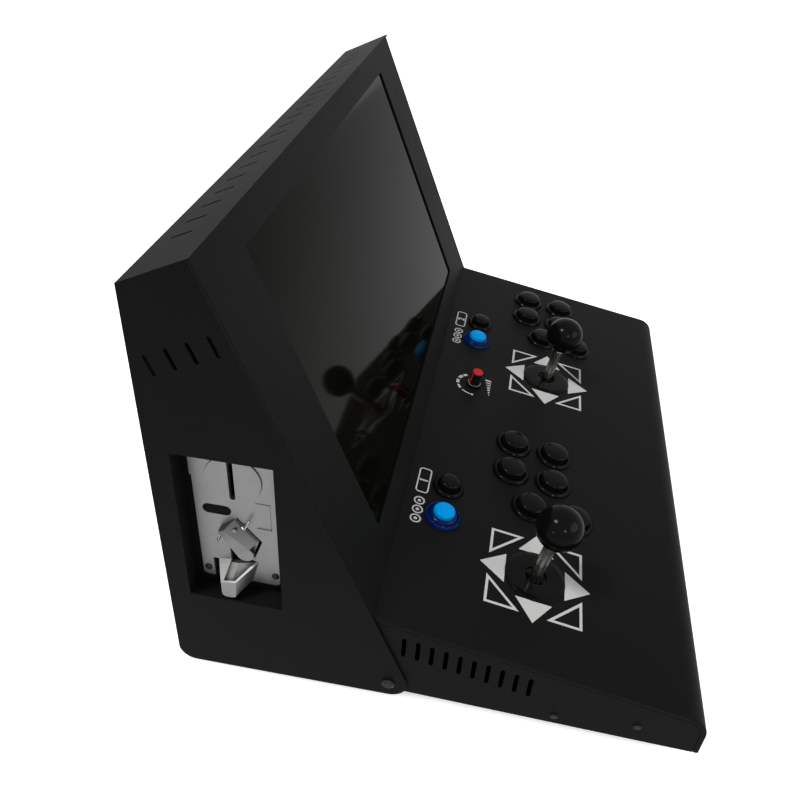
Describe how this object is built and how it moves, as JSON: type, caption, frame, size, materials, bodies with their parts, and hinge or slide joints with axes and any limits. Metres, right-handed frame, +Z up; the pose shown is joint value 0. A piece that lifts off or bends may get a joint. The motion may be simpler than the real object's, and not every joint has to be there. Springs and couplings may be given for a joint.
{
  "type": "arcade cabinet",
  "caption": "Tabletop two-player arcade cabinet: sloped control deck with joysticks and push buttons, leaning screen housing, and a coin mechanism in the side.",
  "frame": {"origin": "centre of the overall footprint, on the surface that the feet stand on", "axes": "+Z up, the players sit at -Y, the coin mechanism is on the -X side, +X is the players' right"},
  "size_m": [0.5456, 0.3933, 0.3493],
  "materials": {
    "black_powder_coat": "satin black powder coat",
    "black_rubber": "matte black rubber",
    "black_screws": "blackened steel",
    "zinc_steel": "bright zinc plate",
    "nickel": "polished nickel",
    "gloss_black": "gloss black moulding",
    "matte_black": "matte black moulding",
    "blue": "gloss blue moulding",
    "circuit_board": "solder mask",
    "screen_glass": "dark polished glass",
    "die_cast": "bead-blasted die casting"
  },
  "bodies": {
    "control_box": {"control_box_shell": "black_powder_coat", "control_panel": "black_powder_coat", "box_feet": "black_rubber", "box_screws": "black_screws", "joystick_bases": "zinc_steel", "dust_washers": "matte_black", "button_rims": "gloss_black", "blue_button_rims": "blue", "button_nuts": "matte_black", "microswitches": "matte_black", "volume_potentiometer": "zinc_steel", "main_board": "circuit_board", "hinge_bolts": "black_screws"},
    "joystick_1_gimbal": {"joystick_1_gimbal": "zinc_steel"},
    "joystick_1_stick": {"joystick_1_shaft": "nickel", "joystick_1_actuator": "matte_black", "joystick_1_ball": "gloss_black"},
    "joystick_2_gimbal": {"joystick_2_gimbal": "zinc_steel"},
    "joystick_2_stick": {"joystick_2_shaft": "nickel", "joystick_2_actuator": "matte_black", "joystick_2_ball": "gloss_black"},
    "player_1_button_1": {"player_1_button_1": "gloss_black"},
    "player_1_button_2": {"player_1_button_2": "gloss_black"},
    "player_1_button_3": {"player_1_button_3": "gloss_black"},
    "player_1_button_4": {"player_1_button_4": "gloss_black"},
    "player_1_button_5": {"player_1_button_5": "gloss_black"},
    "player_1_button_6": {"player_1_button_6": "gloss_black"},
    "player_2_button_1": {"player_2_button_1": "gloss_black"},
    "player_2_button_2": {"player_2_button_2": "gloss_black"},
    "player_2_button_3": {"player_2_button_3": "gloss_black"},
    "player_2_button_4": {"player_2_button_4": "gloss_black"},
    "player_2_button_5": {"player_2_button_5": "gloss_black"},
    "player_2_button_6": {"player_2_button_6": "gloss_black"},
    "start_button_1": {"start_button_1": "gloss_black"},
    "start_button_2": {"start_button_2": "gloss_black"},
    "blue_button_1": {"blue_button_1": "blue"},
    "blue_button_2": {"blue_button_2": "blue"},
    "volume_knob": {"volume_knob": "gloss_black"},
    "screen_housing": {"housing_left_side": "black_powder_coat", "housing_right_side": "black_powder_coat", "housing_top_cover": "black_powder_coat", "housing_back": "black_powder_coat", "housing_front": "black_powder_coat", "screen_glass": "screen_glass", "lcd_panel": "matte_black", "lcd_rails": "zinc_steel", "speakers": "matte_black", "power_supply": "zinc_steel", "power_inlet": "matte_black", "rear_pads": "black_rubber", "housing_screws": "black_screws", "coin_plate": "die_cast", "coin_mechanism": "matte_black", "coin_bracket": "black_powder_coat", "coin_box": "zinc_steel"},
    "coin_reject_lever": {"coin_reject_lever": "die_cast"},
    "service_door": {"service_door": "black_powder_coat"},
    "door_lock": {"door_lock": "nickel"},
    "power_rocker": {"power_rocker": "matte_black"}
  },
  "joints": [
    {"name": "housing_tilt", "type": "hinge", "parent": "control_box", "child": "screen_housing", "pos_m": [0, 0.0241, 0.0232], "axis": [1, 0, 0], "range_deg": [0, 15]},
    {"name": "joystick_1_pitch", "type": "hinge", "parent": "control_box", "child": "joystick_1_gimbal", "pos_m": [-0.1871, -0.0692, 0.05975], "axis": [1, 0, 0], "range_deg": [-10, 10], "stiffness_Nm_per_rad": 0.6},
    {"name": "joystick_1_roll", "type": "hinge", "parent": "joystick_1_gimbal", "child": "joystick_1_stick", "pos_m": [-0.1871, -0.0692, 0.05975], "axis": [0, 0.9852, 0.1714], "range_deg": [-10, 10], "stiffness_Nm_per_rad": 0.6},
    {"name": "joystick_2_pitch", "type": "hinge", "parent": "control_box", "child": "joystick_2_gimbal", "pos_m": [0.0807, -0.0692, 0.05975], "axis": [1, 0, 0], "range_deg": [-10, 10], "stiffness_Nm_per_rad": 0.6},
    {"name": "joystick_2_roll", "type": "hinge", "parent": "joystick_2_gimbal", "child": "joystick_2_stick", "pos_m": [0.0807, -0.0692, 0.05975], "axis": [0, 0.9852, 0.1714], "range_deg": [-10, 10], "stiffness_Nm_per_rad": 0.6},
    {"name": "player_1_button_1_press", "type": "slide", "parent": "control_box", "child": "player_1_button_1", "axis": [0, 0.1714, -0.9852], "range_m": [0, 0.0025], "stiffness_N_per_m": 200, "springref_m": -0.002},
    {"name": "player_1_button_2_press", "type": "slide", "parent": "control_box", "child": "player_1_button_2", "axis": [0, 0.1714, -0.9852], "range_m": [0, 0.0025], "stiffness_N_per_m": 200, "springref_m": -0.002},
    {"name": "player_1_button_3_press", "type": "slide", "parent": "control_box", "child": "player_1_button_3", "axis": [0, 0.1714, -0.9852], "range_m": [0, 0.0025], "stiffness_N_per_m": 200, "springref_m": -0.002},
    {"name": "player_1_button_4_press", "type": "slide", "parent": "control_box", "child": "player_1_button_4", "axis": [0, 0.1714, -0.9852], "range_m": [0, 0.0025], "stiffness_N_per_m": 200, "springref_m": -0.002},
    {"name": "player_1_button_5_press", "type": "slide", "parent": "control_box", "child": "player_1_button_5", "axis": [0, 0.1714, -0.9852], "range_m": [0, 0.0025], "stiffness_N_per_m": 200, "springref_m": -0.002},
    {"name": "player_1_button_6_press", "type": "slide", "parent": "control_box", "child": "player_1_button_6", "axis": [0, 0.1714, -0.9852], "range_m": [0, 0.0025], "stiffness_N_per_m": 200, "springref_m": -0.002},
    {"name": "player_2_button_1_press", "type": "slide", "parent": "control_box", "child": "player_2_button_1", "axis": [0, 0.1714, -0.9852], "range_m": [0, 0.0025], "stiffness_N_per_m": 200, "springref_m": -0.002},
    {"name": "player_2_button_2_press", "type": "slide", "parent": "control_box", "child": "player_2_button_2", "axis": [0, 0.1714, -0.9852], "range_m": [0, 0.0025], "stiffness_N_per_m": 200, "springref_m": -0.002},
    {"name": "player_2_button_3_press", "type": "slide", "parent": "control_box", "child": "player_2_button_3", "axis": [0, 0.1714, -0.9852], "range_m": [0, 0.0025], "stiffness_N_per_m": 200, "springref_m": -0.002},
    {"name": "player_2_button_4_press", "type": "slide", "parent": "control_box", "child": "player_2_button_4", "axis": [0, 0.1714, -0.9852], "range_m": [0, 0.0025], "stiffness_N_per_m": 200, "springref_m": -0.002},
    {"name": "player_2_button_5_press", "type": "slide", "parent": "control_box", "child": "player_2_button_5", "axis": [0, 0.1714, -0.9852], "range_m": [0, 0.0025], "stiffness_N_per_m": 200, "springref_m": -0.002},
    {"name": "player_2_button_6_press", "type": "slide", "parent": "control_box", "child": "player_2_button_6", "axis": [0, 0.1714, -0.9852], "range_m": [0, 0.0025], "stiffness_N_per_m": 200, "springref_m": -0.002},
    {"name": "start_button_1_press", "type": "slide", "parent": "control_box", "child": "start_button_1", "axis": [0, 0.1714, -0.9852], "range_m": [0, 0.0025], "stiffness_N_per_m": 200, "springref_m": -0.002},
    {"name": "start_button_2_press", "type": "slide", "parent": "control_box", "child": "start_button_2", "axis": [0, 0.1714, -0.9852], "range_m": [0, 0.0025], "stiffness_N_per_m": 200, "springref_m": -0.002},
    {"name": "blue_button_1_press", "type": "slide", "parent": "control_box", "child": "blue_button_1", "axis": [0, 0.1714, -0.9852], "range_m": [0, 0.0025], "stiffness_N_per_m": 200, "springref_m": -0.002},
    {"name": "blue_button_2_press", "type": "slide", "parent": "control_box", "child": "blue_button_2", "axis": [0, 0.1714, -0.9852], "range_m": [0, 0.0025], "stiffness_N_per_m": 200, "springref_m": -0.002},
    {"name": "volume_turn", "type": "hinge", "parent": "control_box", "child": "volume_knob", "pos_m": [0.033, 0.00044, 0.08303], "axis": [0, -0.1714, 0.9852], "range_deg": [-150, 150]},
    {"name": "coin_reject", "type": "hinge", "parent": "screen_housing", "child": "coin_reject_lever", "pos_m": [-0.2555, 0.13838, 0.14089], "axis": [-1, 0, 0], "range_deg": [0, 12], "stiffness_Nm_per_rad": 0.05, "springref_deg": -5.73},
    {"name": "service_door_swing", "type": "hinge", "parent": "screen_housing", "child": "service_door", "pos_m": [0.125, 0.19216, 0.14524], "axis": [0, -0.0208, -0.9998], "range_deg": [0, 110]},
    {"name": "door_lock_turn", "type": "hinge", "parent": "service_door", "child": "door_lock", "pos_m": [-0.085, 0.18886, 0.14531], "axis": [0, 0.9998, -0.0208], "range_deg": [0, 90]},
    {"name": "power_switch", "type": "hinge", "parent": "screen_housing", "child": "power_rocker", "pos_m": [0.215, 0.18632, 0.07135], "axis": [-1, 0, 0], "range_deg": [0, 16]}
  ]
}
